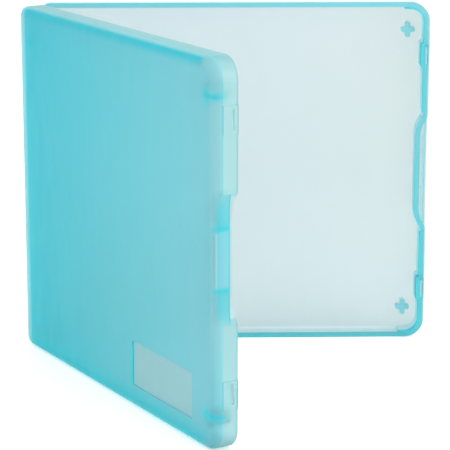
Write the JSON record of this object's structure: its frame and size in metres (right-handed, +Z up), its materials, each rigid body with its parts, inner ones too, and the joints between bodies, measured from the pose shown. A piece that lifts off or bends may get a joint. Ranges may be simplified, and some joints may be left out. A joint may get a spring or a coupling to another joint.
{
  "type": "cd case",
  "caption": "Translucent one-piece disc case: shallow rounded covers on a living hinge, with a thumb notch, snap latches, corner posts and a bare label recess, standing open.",
  "frame": {"origin": "middle of the open case's footprint, on the surface that it stands on", "axes": "+Z up along the spine, +Y out of the back cover's outer face, +X from the spine to the back cover's free edge"},
  "size_m": [0.1466, 0.1342, 0.125],
  "materials": {
    "shell": "translucent aqua polypropylene, satin"
  },
  "bodies": {
    "back": {"back_cover": "shell", "hinge_web": "shell"},
    "front": {"front_cover": "shell"}
  },
  "joints": [
    {"name": "cover_hinge", "type": "hinge", "parent": "back", "child": "front", "pos_m": [-0.06752, 0.05902, 0.0625], "axis": [0, 0, -1], "range_deg": [-61, 119], "deforming": ["hinge_web"]}
  ]
}
